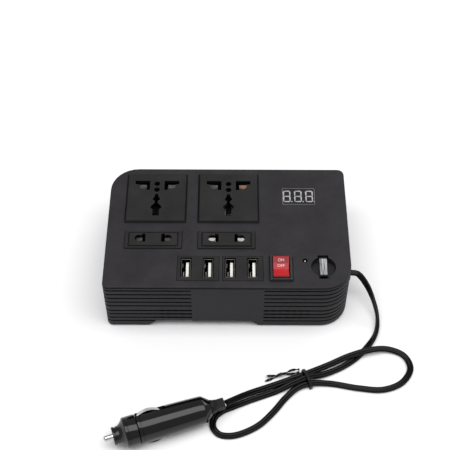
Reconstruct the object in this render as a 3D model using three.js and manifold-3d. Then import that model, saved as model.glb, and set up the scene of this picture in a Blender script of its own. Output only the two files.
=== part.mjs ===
// A small car power inverter with its accessory-socket plug on a tied flat cord.
// Millimetres, +Z up, X along the case, -Y towards the front; the origin is the middle of
// the case's footprint on the surface that it stands on.
import * as THREE from 'three';
import { mergeVertices } from 'three/addons/utils/BufferGeometryUtils.js';
import Module from 'manifold-3d';

const wasm = await Module();
wasm.setup();

// ---- driving dimensions -------------------------------------------------------------------
const CASE = { width: 160, depth: 100, height: 45, wall: 2.6, foot: 2 };
const CORNER = { big: 18.5, backRight: 4.5, frontLeft: 3.6 };
const COVER = { thick: 1.6, fillet: 0.8, gap: 0.4, reveal: 0.5, lip: 3, lipWall: 1.5 };
const GROOVE = { high: 1.3, deep: 1.1 };
const GROOVE_ROWS = [{ first: 40.7, pitch: 4.25, count: 5 }, { first: 18.3, pitch: 4, count: 4 }];
const PANEL = { left: -23.3, right: 23.7 };
const RELIEF = { left: -53.4, right: 22, high: 6.2, slope: 6.2, roof: 2.3 };
const VENT = {
  pitch: 4.5, long: 3.1, high: 1.8, leftFrom: -44.6, leftCount: 5, rightFrom: 24.3, rightCount: 7,
};
const POSTS = [[-68, -40], [-72.5, 18], [72, 40], [72.5, -6]];
const POST = { r: 3.5, hole: 1.6, top: 35.7, bore: 3, boreDeep: 3, bossR: 3, bossHole: 1.5 };

const TOP = CASE.height;
const UNDER = TOP - COVER.thick;
const FLOOR = RELIEF.high + RELIEF.roof;
const SEAT = TOP + 0.05;

const UNIVERSAL = { xs: [-48.35, 0.35], y: 23.4, w: 41.2, d: 42.6, rise: 1.5, bevel: 1.2 };
const UNIVERSAL_BODY = { w: 37.6, d: 39, bottom: 30, face: 43.6, floor: 31.5 };
const TWO_PIN = { xs: [-48.9, -0.8], y: -12.1, w: 38, d: 14.6, rise: 1.2, bevel: 0.4 };
const TWO_PIN_BODY = { w: 34.4, d: 11.4, bottom: 33, face: 43.8, floor: 34.4 };
const USB = { ports: [-26.8, -12.4, 1.7, 16.1], y: -34.75, w: 6.1, d: 14.4, wall: 0.35, bottom: 31 };
const USB_FRAMES = [[-19, 26.8], [9.8, 26]];
const USB_FRAME = { y: -34.95, d: 19.3, thick: 3 };
const TONGUE = { dx: 0.95, w: 1.9, d: 11.3, top: 43.2, bottom: 31.9 };
const SWITCH = { x: 34.5, y: -35.2, w: 15, d: 19.8, rise: 2, pivot: 42, tilt: 5 };
const SWITCH_BODY = { w: 13, d: 18.6, bottom: 33, hollowW: 11.3, hollowD: 17.2, floor: 35 };
const ROCKER = { w: 10.7, half: 7.8, end: 6.2, valley: 2.7, pin: 0.9, pinLong: 0.5 };
const LED = { x: 50.2, y: -28.5, r: 1.5, hole: 1.75, bottom: 38 };
const DISPLAY = { x: 47.95, y: 25.5, w: 22.4, d: 14.6, bottom: 38 };
const FUSE = { x: 61.9, y: -33.5, r: 8.1, slotW: 7, slotD: 18.6, floor: 40, bottom: 24 };
const BLADE_FUSE = { w: 4.6, d: 14.6, top: 45.2, bottom: 35, wall: 0.8, strip: 0.7 };
const GROMMET = { y: -20, z: 20, face: 82.2, w: 8, h: 6 };
const FAN = { x: -16, y: 6, size: 40, high: 10, bore: 18.8, blade: 18.2, hub: 8, blades: 7 };
const BOARD = { x0: 9, x1: 67, y0: -22, y1: 44, bottom: 9.4, thick: 1.6 };

const PLUG = { x: -75, y: -138, z: 9.7, turn: 18.7 };
const PLUG_LEAF = { from: 22.3, to: 37.4, rise: 1.6, r: 8.5, w: 3.6, thick: 0.5, lean: 51 };

const CORD = { w: 4.2, h: 2.3, steps: 64 };
// x, y, z and roll in degrees: 0 lies flat, 90 stands on its edge
const ROUTE = [
  [82.6, -20, 20, 0], [87.4, -20.5, 19.1, 15], [93.2, -25.4, 14.2, 50], [97.8, -34, 8.4, 85],
  [100.2, -45, 4, 90], [98.6, -56, 1.9, 60], [92.6, -66, 1.25, 10], [84, -75.2, 1.2, 0],
  [74, -82.2, 1.2, 0], [62, -87.8, 2, 0], [51, -91.4, 4.45, 0], [42, -95.2, 3.6, 0],
  [31.6, -99.7, 1.25, 0], [14, -106.6, 1.2, 0], [3.4, -111.2, 1.2, 0], [-3.6, -114.6, 1.2, 0],
  [-8, -119.4, 1.2, 0], [-8.6, -125.2, 1.2, 0], [-4.9, -130, 1.2, 0], [1.8, -131.2, 1.2, 0],
  [9.6, -129.4, 1.2, 0], [20, -123.8, 1.2, 0], [29, -114.9, 1.2, 0], [37.6, -104.2, 1.2, 0],
  [45, -97.6, 1.8, 0], [53, -94.6, 2.1, 0], [66, -94.2, 1.3, 0], [84, -97.4, 1.2, 0],
  [100, -98.4, 1.2, 0], [112.6, -93, 1.2, 0], [118.8, -82.6, 1.2, 0], [115.4, -73.2, 1.3, 0],
  [105, -69, 2.4, 0], [93.4, -70.8, 4.2, 0], [79, -75.4, 3.9, 0], [66, -80.6, 1.7, 0],
  [49.8, -88, 2.15, 0], [28, -96.4, 1.6, 0], [13, -103.6, 4.4, 0], [-0.6, -112.7, 9.2, 0],
];
const TIE = { x: 50.4, y: -91.8, turn: 21, halfW: 6.9, high: 6.8, thick: 0.7, wide: 2 };
const TAILS = [
  [[46.6, -85.2, 3.6], [42, -85.8, 3.8], [36.6, -88, 3.1], [30.6, -89.2, 2.4], [25.2, -89.2, 2.2]],
  [[46.6, -85.9, 1.5], [41, -87.3, 1.3], [35, -87, 1.2], [29.6, -90.3, 0.9], [24.4, -92.2, 0.8]],
];

// ---- helpers ------------------------------------------------------------------------------
const rad = THREE.MathUtils.degToRad;

function solid(geometry) {
  const bare = geometry.clone();
  bare.deleteAttribute('normal');
  bare.deleteAttribute('uv');
  const merged = mergeVertices(bare, 1e-4);
  return new wasm.Manifold(new wasm.Mesh({
    numProp: 3,
    vertProperties: Float32Array.from(merged.attributes.position.array),
    triVerts: Uint32Array.from(merged.index.array),
  }));
}

function geometryOf(manifold) {
  const mesh = manifold.getMesh();
  const geometry = new THREE.BufferGeometry();
  geometry.setAttribute('position', new THREE.BufferAttribute(Float32Array.from(mesh.vertProperties), 3));
  geometry.setIndex(Array.from(mesh.triVerts));
  return geometry;
}

function box(x0, x1, y0, y1, z0, z1) {
  return solid(new THREE.BoxGeometry(x1 - x0, y1 - y0, z1 - z0)
    .translate((x0 + x1) / 2, (y0 + y1) / 2, (z0 + z1) / 2));
}

// a block of a given width and depth about a centre
const block = (x, y, w, d, z0, z1) => box(x - w / 2, x + w / 2, y - d / 2, y + d / 2, z0, z1);

function rod(x, y, r, z0, z1, sides = 20) {
  return solid(new THREE.CylinderGeometry(r, r, z1 - z0, sides)
    .rotateX(Math.PI / 2).translate(x, y, (z0 + z1) / 2));
}

function extruded(shape, z0, z1, curveSegments = 4) {
  return solid(new THREE.ExtrudeGeometry(shape, { depth: z1 - z0, bevelEnabled: false, curveSegments })
    .translate(0, 0, z0));
}

function polygon(points) {
  return new THREE.Shape(points.map(([x, y]) => new THREE.Vector2(x, y)));
}

// an outline drawn in Y and Z, run along X
function runAlongX(points, x0, x1) {
  const turn = new THREE.Matrix4().makeBasis(
    new THREE.Vector3(0, 1, 0), new THREE.Vector3(0, 0, 1), new THREE.Vector3(1, 0, 0));
  return new THREE.ExtrudeGeometry(polygon(points), { depth: x1 - x0, bevelEnabled: false })
    .applyMatrix4(turn).translate(x0, 0, 0);
}

// an outline drawn in X and Z, run along Y
function runAlongY(points, y0, y1) {
  const turn = new THREE.Matrix4().makeBasis(
    new THREE.Vector3(1, 0, 0), new THREE.Vector3(0, 0, 1), new THREE.Vector3(0, -1, 0));
  return new THREE.ExtrudeGeometry(polygon(points), { depth: y1 - y0, bevelEnabled: false })
    .applyMatrix4(turn).translate(0, y1, 0);
}

// a plate whose upper edges are bevelled, standing on z0
function bevelledPlate(x, y, w, d, z0, rise, bevel) {
  const shape = polygon([[-w / 2 + bevel, -d / 2 + bevel], [w / 2 - bevel, -d / 2 + bevel],
    [w / 2 - bevel, d / 2 - bevel], [-w / 2 + bevel, d / 2 - bevel]]);
  const geometry = new THREE.ExtrudeGeometry(shape,
    { depth: 0.01, bevelThickness: rise - 0.01, bevelSize: bevel, bevelSegments: 1 });
  return solid(geometry.translate(x, y, z0)).intersect(block(x, y, w + 2, d + 2, z0, z0 + rise + 1));
}

function lathe(points, sides = 28) {
  return new THREE.LatheGeometry(points.map(([r, h]) => new THREE.Vector2(r, h)), sides)
    .rotateX(Math.PI / 2);
}

// a revolved solid whose axis is local X, drawn as radius against distance along the axis
const turnedAlongX = (points, sides = 28) => solid(lathe(points, sides).rotateY(Math.PI / 2));

// ---- materials ----------------------------------------------------------------------------
function paint(color, roughness, metalness = 0, opacity = 1) {
  return { color, roughness, metalness, opacity, transparent: opacity < 1 };
}
const CHARCOAL = paint(0x393639, 0.55);
const BLACK = paint(0x1b1b1d, 0.4);
const GLOSS_BLACK = paint(0x0d0d0e, 0.15);
const RED = paint(0xc82828, 0.3);
const WHITE = paint(0xeceae4, 0.5);
const STEEL = paint(0xc4c6c8, 0.25, 1);
const BRASS = paint(0xc09455, 0.35, 1);
const ALUMINIUM = paint(0xa8abae, 0.4, 1);
const GREEN = paint(0x1e5a38, 0.5);
const CORE = paint(0x4c4a42, 0.7);
const CLEAR = paint(0xdfe4e6, 0.1, 0, 0.45);

const model = new THREE.Group();

function add(name, shape, look, parent = model) {
  const geometry = shape.isBufferGeometry ? shape : geometryOf(shape);
  const mesh = new THREE.Mesh(geometry, new THREE.MeshStandardMaterial(look));
  mesh.name = name;
  parent.add(mesh);
  return mesh;
}

// ---- case ---------------------------------------------------------------------------------
function caseOutline(inset) {
  const x = CASE.width / 2 - inset;
  const y = CASE.depth / 2 - inset;
  const big = CORNER.big - inset;
  const backRight = Math.max(CORNER.backRight - inset, 0.5);
  const frontLeft = Math.max(CORNER.frontLeft - inset, 0.5);
  const shape = new THREE.Shape();
  shape.moveTo(-x + frontLeft, -y);
  shape.lineTo(x - big, -y);
  shape.absarc(x - big, -y + big, big, -Math.PI / 2, 0);
  shape.lineTo(x, y - backRight);
  shape.absarc(x - backRight, y - backRight, backRight, 0, Math.PI / 2);
  shape.lineTo(-x + big, y);
  shape.absarc(-x + big, y - big, big, Math.PI / 2, Math.PI);
  shape.lineTo(-x, -y + frontLeft);
  shape.absarc(-x + frontLeft, -y + frontLeft, frontLeft, Math.PI, 1.5 * Math.PI);
  return shape;
}

const grooveHeights = GROOVE_ROWS.flatMap(({ first, pitch, count }) => (
  Array.from({ length: count }, (_, i) => first - i * pitch)));

function ventCuts(y0, y1) {
  const rows = grooveHeights.slice(-4, -1);
  const starts = [
    ...Array.from({ length: VENT.leftCount }, (_, i) => VENT.leftFrom + i * VENT.pitch),
    ...Array.from({ length: VENT.rightCount }, (_, i) => VENT.rightFrom + i * VENT.pitch),
  ];
  return wasm.Manifold.union(rows.flatMap((z) => starts.map((x) => (
    box(x, x + VENT.long, y0, y1, z - VENT.high / 2, z + VENT.high / 2)))));
}

function fanGrille() {
  const bars = [];
  for (let i = -3; i <= 3; i += 1) {
    const half = Math.sqrt(17 ** 2 - (i * 5) ** 2);
    bars.push(block(FAN.x + i * 5, FAN.y, 2.8, 2 * half, RELIEF.high - 1, FLOOR + 1));
  }
  return wasm.Manifold.union(bars);
}

function baseShell() {
  const rim = UNDER - COVER.gap;
  const panel = box(PANEL.left, PANEL.right, -CASE.depth, -CASE.depth / 2 + 5, 0, TOP);
  const ring = extruded(caseOutline(-1), 0, GROOVE.high)
    .subtract(extruded(caseOutline(GROOVE.deep), -1, 3));
  const grooves = wasm.Manifold.union(grooveHeights.map((z) => ring.translate(0, 0, z - GROOVE.high / 2)));
  const rounded = new THREE.ExtrudeGeometry(caseOutline(CASE.foot), {
    depth: rim, bevelThickness: CASE.foot, bevelSize: CASE.foot, bevelSegments: 3, curveSegments: 4,
  }).translate(0, 0, CASE.foot);
  let shell = solid(rounded).intersect(box(-90, 90, -60, 60, -1, rim)).subtract(grooves.subtract(panel));
  const inside = caseOutline(CASE.wall);
  const pockets = extruded(caseOutline(CASE.wall + 1.5), 2.3, FLOOR + 1).intersect(
    box(-80, RELIEF.left - 3, -60, 60, 0, TOP).add(box(RELIEF.right + 3, 80, -60, 60, 0, TOP)));
  shell = shell.subtract(extruded(inside, FLOOR, TOP)).subtract(pockets);
  shell = shell.subtract(solid(runAlongY([[RELIEF.left, -1], [RELIEF.right, -1], [RELIEF.right, 0],
    [RELIEF.right - RELIEF.slope, RELIEF.high], [RELIEF.left + RELIEF.slope, RELIEF.high],
    [RELIEF.left, 0]], -60, 60)));
  const standoffs = [[BOARD.x0 + 3, BOARD.y0 + 3], [BOARD.x1 - 3, BOARD.y0 + 3],
    [BOARD.x0 + 3, BOARD.y1 - 3], [BOARD.x1 - 3, BOARD.y1 - 3]]
    .map(([x, y]) => rod(x, y, 2.5, x < RELIEF.right ? FLOOR - 1 : 1, BOARD.bottom - 0.1, 12));
  const posts = POSTS.map(([x, y]) => rod(x, y, POST.r, 1, POST.top));
  shell = shell.add(wasm.Manifold.union([...standoffs, ...posts]));
  const holes = POSTS.flatMap(([x, y]) => [rod(x, y, POST.hole, -1, TOP, 16),
    rod(x, y, POST.bore, -1, POST.boreDeep)]);
  return shell.subtract(wasm.Manifold.union([
    ...holes,
    ventCuts(-60, -CASE.depth / 2 + 6),
    ventCuts(CASE.depth / 2 - 6, 60),
    fanGrille(),
    box(74, 90, GROMMET.y - 2.9, GROMMET.y + 2.9, GROMMET.z - 1.9, GROMMET.z + 1.9),
  ]));
}

function recess(grow, z0, z1) {
  return rod(FUSE.x, FUSE.y, FUSE.r + grow, z0, z1, 32)
    .add(block(FUSE.x, FUSE.y, FUSE.slotW + 2 * grow, FUSE.slotD + 2 * grow, z0, z1));
}

function topCover() {
  const edge = new THREE.ExtrudeGeometry(caseOutline(COVER.fillet), {
    depth: COVER.thick, bevelThickness: COVER.fillet, bevelSize: COVER.fillet, bevelSegments: 2,
    curveSegments: 4,
  }).translate(0, 0, TOP - COVER.thick - COVER.fillet);
  const reveal = extruded(caseOutline(-1), UNDER - 1, UNDER + COVER.reveal)
    .subtract(extruded(caseOutline(1), UNDER - 2, UNDER + 2));
  const plate = solid(edge).intersect(box(-90, 90, -60, 60, UNDER, TOP + 1)).subtract(reveal);
  const outer = caseOutline(CASE.wall + 0.3);
  const lip = extruded(outer, UNDER - COVER.lip, UNDER + 0.5)
    .subtract(extruded(caseOutline(CASE.wall + 0.3 + COVER.lipWall), 0, UNDER));
  const bosses = POSTS.map(([x, y]) => rod(x, y, POST.bossR, POST.top + 0.3, UNDER + 0.5));
  const clear = (x, y, w, d) => block(x, y, w, d, UNDER - 10, TOP + 1);
  return plate.add(lip).add(wasm.Manifold.union(bosses)).subtract(wasm.Manifold.union([
    ...POSTS.map(([x, y]) => rod(x, y, POST.bossHole, POST.top - 1, UNDER - 0.6, 16)),
    ...UNIVERSAL.xs.map((x) => clear(x, UNIVERSAL.y, UNIVERSAL_BODY.w + 0.5, UNIVERSAL_BODY.d + 0.5)),
    ...TWO_PIN.xs.map((x) => clear(x, TWO_PIN.y, TWO_PIN_BODY.w + 0.5, TWO_PIN_BODY.d + 0.5)),
    ...USB_FRAMES.map(([x, w]) => clear(x, USB_FRAME.y, w + 0.5, USB_FRAME.d + 0.5)),
    clear(SWITCH.x, SWITCH.y, SWITCH_BODY.w + 0.4, SWITCH_BODY.d + 0.4),
    clear(DISPLAY.x, DISPLAY.y, DISPLAY.w + 0.3, DISPLAY.d + 0.3),
    rod(LED.x, LED.y, LED.hole, UNDER - 10, TOP + 1, 16),
    recess(0, UNDER - 10, TOP + 1),
  ]));
}

add('base_shell', baseShell(), CHARCOAL);
add('top_cover', topCover(), CHARCOAL);

POSTS.forEach(([x, y], i) => {
  const screw = lathe([[0, 0], [2.6, 0], [2.6, 1], [1.4, 1.7], [1.4, 39], [0.8, 40], [0, 40]], 12);
  add(`case_screw_${i + 1}`, screw.translate(x, y, 1), STEEL);
});

// ---- sockets ------------------------------------------------------------------------------
// a sprung clip of strip metal, drawn across its slot, with a lead-in that leans back
function clipOutline(half, z0, z1, strip, flare) {
  return [[-half, z0], [half, z0], [half, z1 - flare], [half + flare, z1 - 0.4],
    [half + flare - strip, z1], [half - strip, z1 - flare + 0.4], [half - strip, z0 + strip],
    [-half + strip, z0 + strip], [-half + strip, z1], [-half, z1]];
}

// the same clip, cut away above a height at the end that faces the upright slot
function steppedClip(outline, side, cut, height) {
  const step = block(side * -3.9, 0, 2 * cut, 12, height, 50);
  return solid(runAlongX(outline, -3.9, 3.9)).subtract(step);
}

function earthHole(z0, z1) {
  const right = [[0.6, 2.7], [1.15, 2], [1.15, 0.6], [2.35, -1.5], [2.35, -2.6], [0.95, -3.4],
    [0.95, -5.2], [3.5, -8.1], [3.5, -9.7], [2.15, -10.7], [2.15, -16.1]];
  const left = right.map(([x, y]) => [-x, y]).reverse();
  return extruded(polygon([...right, ...left].reverse()), z0, z1);
}

function universalSocket(x) {
  const plate = bevelledPlate(0, 0, UNIVERSAL.w, UNIVERSAL.d, SEAT, UNIVERSAL.rise, UNIVERSAL.bevel);
  const body = block(0, 0, UNIVERSAL_BODY.w, UNIVERSAL_BODY.d, UNIVERSAL_BODY.bottom, SEAT + 0.5);
  const { face, floor } = UNIVERSAL_BODY;
  const cuts = [earthHole(face - 1, 50), block(0, -7, 8.6, 21, floor, face)];
  for (const side of [-1, 1]) {
    cuts.push(block(side * 9.95, 12.8, 9.9, 3, face - 1, 50));
    cuts.push(block(side * 6.1, 10.3, 2.2, 8, face - 1, 50));
    cuts.push(rod(side * 9.8, 10.2, 2.9, face - 1, 50, 20));
    cuts.push(block(side * 10.1, 10.8, 11.2, 11.6, floor, face));
  }
  cuts.push(rod(0, 11.7, 1.9, 40, 50, 16), rod(0, 6.4, 1.9, 40, 50, 16));
  return plate.add(body).subtract(wasm.Manifold.union(cuts)).translate(x, UNIVERSAL.y, 0);
}

function twoPinSocket(x) {
  const { rise, bevel, w, d } = TWO_PIN;
  const flange = bevelledPlate(0, 0, w, d, SEAT, rise - 0.5, bevel);
  const inner = bevelledPlate(0, 0, w - 6, d - 3.9, SEAT, rise, 0.3);
  const groove = block(0, 0, w - 5.1, d - 3, SEAT + 0.1, 50).subtract(block(0, 0, w - 6, d - 3.9, 40, 51));
  const body = block(0, 0, TWO_PIN_BODY.w, TWO_PIN_BODY.d, TWO_PIN_BODY.bottom, SEAT + 0.3);
  const cuts = [];
  for (const side of [-1, 1]) {
    cuts.push(block(side * 6.4, 1, 2.3, 6.6, 42, 50), rod(side * 9.5, 0.7, 2.6, 42, 50, 20));
    cuts.push(block(side * 9.3, 0, 10.6, 9.6, TWO_PIN_BODY.floor, TWO_PIN_BODY.face));
  }
  return flange.add(body).subtract(groove).add(inner).subtract(wasm.Manifold.union(cuts))
    .translate(x, TWO_PIN.y, 0);
}

['left', 'right'].forEach((hand, i) => {
  const x = UNIVERSAL.xs[i];
  add(`universal_socket_${hand}`, universalSocket(x), BLACK);
  const pinMetal = i === 0 ? STEEL : BRASS;
  [['live', 1], ['neutral', -1]].forEach(([pole, side]) => {
    const clip = steppedClip(clipOutline(2.3, 31.8, 43, 0.6, 2), side, 1.4, 38);
    add(`${pole}_contact_${hand}`, clip.translate([x + side * 9.9, UNIVERSAL.y + 9.8, 0]), pinMetal);
  });
  const earth = runAlongY(clipOutline(2.6, 31.8, 42.6, 0.6, 1), -5.5, 5.5);
  add(`earth_contact_${hand}`, earth.translate(x, UNIVERSAL.y - 9, 0), STEEL);
  const x2 = TWO_PIN.xs[i];
  add(`two_pin_socket_${hand}`, twoPinSocket(x2), BLACK);
  [1, -1].forEach((side, k) => {
    const clip = steppedClip(clipOutline(1.9, 34.7, 43.2, 0.6, 1.7), side, 2.3, 39);
    add(`two_pin_contact_${hand}_${k + 1}`, clip.translate([x2 + side * 9, TWO_PIN.y + 0.1, 0]), STEEL);
  });
});

// ---- USB sockets --------------------------------------------------------------------------
USB_FRAMES.forEach(([x, w], i) => {
  const ports = USB.ports.slice(2 * i, 2 * i + 2)
    .map((px) => block(px, USB.y, USB.w + 0.4, USB.d + 0.4, 30, 50));
  const frame = block(x, USB_FRAME.y, w, USB_FRAME.d, TOP - USB_FRAME.thick, TOP + 0.1)
    .subtract(wasm.Manifold.union(ports));
  add(`usb_frame_${i === 0 ? 'left' : 'right'}`, frame, BLACK);
});
USB.ports.forEach((x, i) => {
  const tube = block(x, USB.y, USB.w, USB.d, USB.bottom, TOP - 0.1)
    .subtract(block(x, USB.y, USB.w - 2 * USB.wall, USB.d - 2 * USB.wall, USB.bottom + 0.5, 50));
  add(`usb_shell_${i + 1}`, tube, STEEL);
  const bar = block(x + TONGUE.dx, USB.y, TONGUE.w, TONGUE.d, TONGUE.bottom, TONGUE.top);
  add(`usb_tongue_${i + 1}`, bar, WHITE);
});
add('usb_board', block(-5.3, USB.y, 58, 20, 28.9, 30.7), GREEN);

// ---- rocker switch ------------------------------------------------------------------------
function switchHousing() {
  const bezel = bevelledPlate(SWITCH.x, SWITCH.y, SWITCH.w, SWITCH.d, SEAT, SWITCH.rise, 0.5);
  const body = block(SWITCH.x, SWITCH.y, SWITCH_BODY.w, SWITCH_BODY.d, SWITCH_BODY.bottom, SEAT + 0.5);
  const hollow = block(SWITCH.x, SWITCH.y, SWITCH_BODY.hollowW, SWITCH_BODY.hollowD, SWITCH_BODY.floor, 50);
  const pivot = solid(new THREE.CylinderGeometry(ROCKER.pin + 0.2, ROCKER.pin + 0.2, 20, 14)
    .rotateZ(Math.PI / 2).translate(SWITCH.x, SWITCH.y, SWITCH.pivot));
  return bezel.add(body).subtract(hollow).subtract(pivot);
}
add('switch_housing', switchHousing(), BLACK);

function switchRocker() {
  const { w, half, end, valley, pin, pinLong } = ROCKER;
  const side = runAlongX([[-half, end], [-half - 0.3, 1], [-6, -3], [-2, -5], [2, -5], [6, -3],
    [half + 0.3, 1], [half, end], [half * 0.5, (valley + end) / 2 - 0.35], [0, valley],
    [-half * 0.5, (valley + end) / 2 - 0.35]], -w / 2, w / 2);
  const axle = new THREE.CylinderGeometry(pin, pin, w + 2 * pinLong, 14).rotateZ(Math.PI / 2);
  return geometryOf(solid(side).add(solid(axle))).rotateX(rad(SWITCH.tilt));
}
const rocker = add('switch_rocker', switchRocker(), RED);
rocker.position.set(SWITCH.x, SWITCH.y, SWITCH.pivot);

// ---- light, display and blade fuse --------------------------------------------------------
add('indicator_led', lathe([[0, LED.bottom], [LED.r, LED.bottom], [LED.r, TOP - 0.9],
  [LED.r * 0.92, TOP - 0.3], [LED.r * 0.6, TOP + 0.2], [0, TOP + 0.35]], 16)
  .translate(LED.x, LED.y, 0), CLEAR);
add('display_module', block(DISPLAY.x, DISPLAY.y, DISPLAY.w, DISPLAY.d, DISPLAY.bottom, TOP - 0.05),
  GLOSS_BLACK);

add('fuse_holder', rod(FUSE.x, FUSE.y, 11, FUSE.bottom, UNDER - 0.1, 28)
  .subtract(recess(0, FUSE.floor, TOP))
  .subtract(block(FUSE.x, FUSE.y, 5.4, 16, FUSE.bottom + 2, TOP)), BLACK);
add('fuse_body', block(FUSE.x, FUSE.y, BLADE_FUSE.w, BLADE_FUSE.d, BLADE_FUSE.bottom, BLADE_FUSE.top)
  .subtract(block(FUSE.x, FUSE.y, BLADE_FUSE.w - 2 * BLADE_FUSE.wall, BLADE_FUSE.d - 2 * BLADE_FUSE.wall,
    BLADE_FUSE.bottom - 1, BLADE_FUSE.top - BLADE_FUSE.wall)), CLEAR);
add('fuse_element', runAlongX([[-6.2, 27], [-2.4, 27], [-2.4, 39], [-1, 41.5], [1, 41.5], [2.4, 39],
  [2.4, 27], [6.2, 27], [6.2, 39.5], [2.2, 43], [-2.2, 43], [-6.2, 39.5]],
-BLADE_FUSE.strip / 2, BLADE_FUSE.strip / 2).translate(FUSE.x, FUSE.y, 0), STEEL);
[-4.3, 4.3].forEach((dy, i) => {
  const clip = runAlongY(clipOutline(1.2, 26.1, 33.4, 0.55, 0.6), -1.8, 1.8);
  add(`fuse_clip_${i + 1}`, clip.translate(FUSE.x, FUSE.y + dy, 0), BRASS);
});

// ---- works inside the case ----------------------------------------------------------------
function fanFrame() {
  const { x, y, size, high, bore, hub } = FAN;
  const z0 = FLOOR + 0.1;
  const shell = block(x, y, size, size, z0, z0 + high).subtract(rod(x, y, bore, z0 - 1, z0 + high + 1, 32));
  const spokes = block(x, y, 2 * bore + 1, 2.4, z0, z0 + 1).add(block(x, y, 2.4, 2 * bore + 1, z0, z0 + 1));
  return shell.add(spokes).add(rod(x, y, hub, z0, z0 + 1, 20));
}
add('fan_frame', fanFrame(), BLACK);

function fanRotor() {
  const blade = new THREE.BoxGeometry(FAN.blade - FAN.hub + 0.8, 1, 8)
    .rotateX(rad(38)).translate((FAN.blade + FAN.hub - 0.8) / 2, 0, 0);
  const blades = Array.from({ length: FAN.blades }, (_, i) => (
    solid(blade.clone().rotateZ((2 * Math.PI * i) / FAN.blades))));
  return rod(0, 0, FAN.hub - 0.4, -3.4, 4.2, 20).add(wasm.Manifold.union(blades));
}
add('fan_rotor', fanRotor(), BLACK).position.set(FAN.x, FAN.y, FLOOR + 5.5);

const boardTop = BOARD.bottom + BOARD.thick;
add('main_board', box(BOARD.x0, BOARD.x1, BOARD.y0, BOARD.y1, BOARD.bottom, boardTop), GREEN);
add('transformer', block(28, 14, 28, 24, boardTop + 0.1, 27)
  .add(block(28, 14, 20, 29, boardTop + 2, 25)), CORE);
add('heat_sink', wasm.Manifold.union([
  box(26, 62, 36.5, 39, boardTop + 0.1, 34),
  ...Array.from({ length: 5 }, (_, i) => box(26, 62, 32.6, 43.6, 14.6 + i * 4.4, 16 + i * 4.4)),
]), ALUMINIUM);
[[52, 22], [52, 9]].forEach(([x, y], i) => {
  add(`capacitor_${i + 1}`, lathe([[0, 0], [5, 0], [5, 1.6], [4.7, 2.1], [5, 2.6], [5, 19.6],
    [4.5, 20], [0, 20]], 20).translate(x, y, boardTop + 0.1), BLACK);
});

// ---- cord ---------------------------------------------------------------------------------
add('cord_grommet', box(80.1, GROMMET.face, GROMMET.y - GROMMET.w / 2, GROMMET.y + GROMMET.w / 2,
  GROMMET.z - GROMMET.h / 2, GROMMET.z + GROMMET.h / 2)
  .add(box(76.4, 80.4, GROMMET.y - 2.7, GROMMET.y + 2.7, GROMMET.z - 1.7, GROMMET.z + 1.7)), BLACK);

// a curve that carries a flat section level, apart from the roll stated along it
class FlatLay extends THREE.CatmullRomCurve3 {
  constructor(route) {
    super(route.map(([x, y, z]) => new THREE.Vector3(x, y, z)), false, 'centripetal');
    this.rolls = route.map((point) => rad(point[3]));
  }

  rollAt(u) {
    const t = this.getUtoTmapping(u) * (this.rolls.length - 1);
    const i = Math.min(Math.floor(t), this.rolls.length - 2);
    return THREE.MathUtils.lerp(this.rolls[i], this.rolls[i + 1], t - i);
  }

  computeFrenetFrames(steps) {
    const frames = { tangents: [], normals: [], binormals: [] };
    for (let i = 0; i <= steps; i += 1) {
      const along = this.getTangentAt(i / steps);
      const side = new THREE.Vector3(0, 0, 1).cross(along).normalize()
        .applyAxisAngle(along, this.rollAt(i / steps));
      frames.tangents.push(along);
      frames.normals.push(side);
      frames.binormals.push(new THREE.Vector3().crossVectors(along, side));
    }
    return frames;
  }
}

function flatSection(w, h) {
  const flat = (w - h) / 2;
  const cut = h * 0.29;
  return polygon([[-w / 2, -cut / 2], [-flat - cut / 2, -h / 2], [flat + cut / 2, -h / 2],
    [w / 2, -cut / 2], [w / 2, cut / 2], [flat + cut / 2, h / 2], [-flat - cut / 2, h / 2],
    [-w / 2, cut / 2]]);
}

add('power_cord', new THREE.ExtrudeGeometry(flatSection(CORD.w, CORD.h),
  { steps: CORD.steps, bevelEnabled: false, extrudePath: new FlatLay(ROUTE) }), BLACK);

function tieWrap() {
  const hoop = (w, z0, z1) => polygon([[-w, z0], [w, z0], [w, z1 * 0.55], [w * 0.45, z1], [-w * 0.45, z1],
    [-w, z1 * 0.55]]);
  const shape = hoop(TIE.halfW, 0, TIE.high);
  shape.holes.push(hoop(TIE.halfW - TIE.thick, TIE.thick, TIE.high - TIE.thick));
  return new THREE.ExtrudeGeometry(shape, { depth: TIE.wide, bevelEnabled: false })
    .rotateX(Math.PI / 2).rotateZ(Math.PI / 2);
}
const tie = add('cord_tie', tieWrap(), BLACK);
tie.position.set(TIE.x, TIE.y, 0.02);
tie.rotation.z = rad(TIE.turn);
TAILS.forEach((points, i) => {
  const path = new THREE.CatmullRomCurve3(points.map((p) => new THREE.Vector3(...p)));
  const section = new THREE.Shape();
  section.absellipse(0, 0, 0.7, 0.7, 0, 2 * Math.PI);
  add(`tie_tail_${i + 1}`, new THREE.ExtrudeGeometry(section,
    { steps: 10, curveSegments: 3, bevelEnabled: false, extrudePath: path }), BLACK);
});

// ---- accessory-socket plug, drawn along its own axis from the tip of its pin ----------------
const plug = new THREE.Group();
plug.position.set(PLUG.x, PLUG.y, PLUG.z);
plug.rotation.z = rad(PLUG.turn);
model.add(plug);

add('plug_pin', turnedAlongX([[0, 0], [1.2, 0.25], [1.85, 1.2], [1.85, 8.8], [2.7, 8.9], [2.7, 10.4],
  [1.7, 10.5], [1.7, 13.4], [0, 13.4]], 20), STEEL, plug);

add('plug_cap', turnedAlongX([[2.15, 5.8], [5.4, 5.8], [5.7, 6.1], [5.7, 7.2], [5.2, 7.8], [5.4, 9.2],
  [6.5, 11], [9, 13], [9.6, 13.5], [9.6, 21], [9.3, 21.3], [5.6, 21.3], [5.6, 8.4], [2.15, 8.4],
  [2.15, 5.8]]), GLOSS_BLACK, plug);

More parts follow.
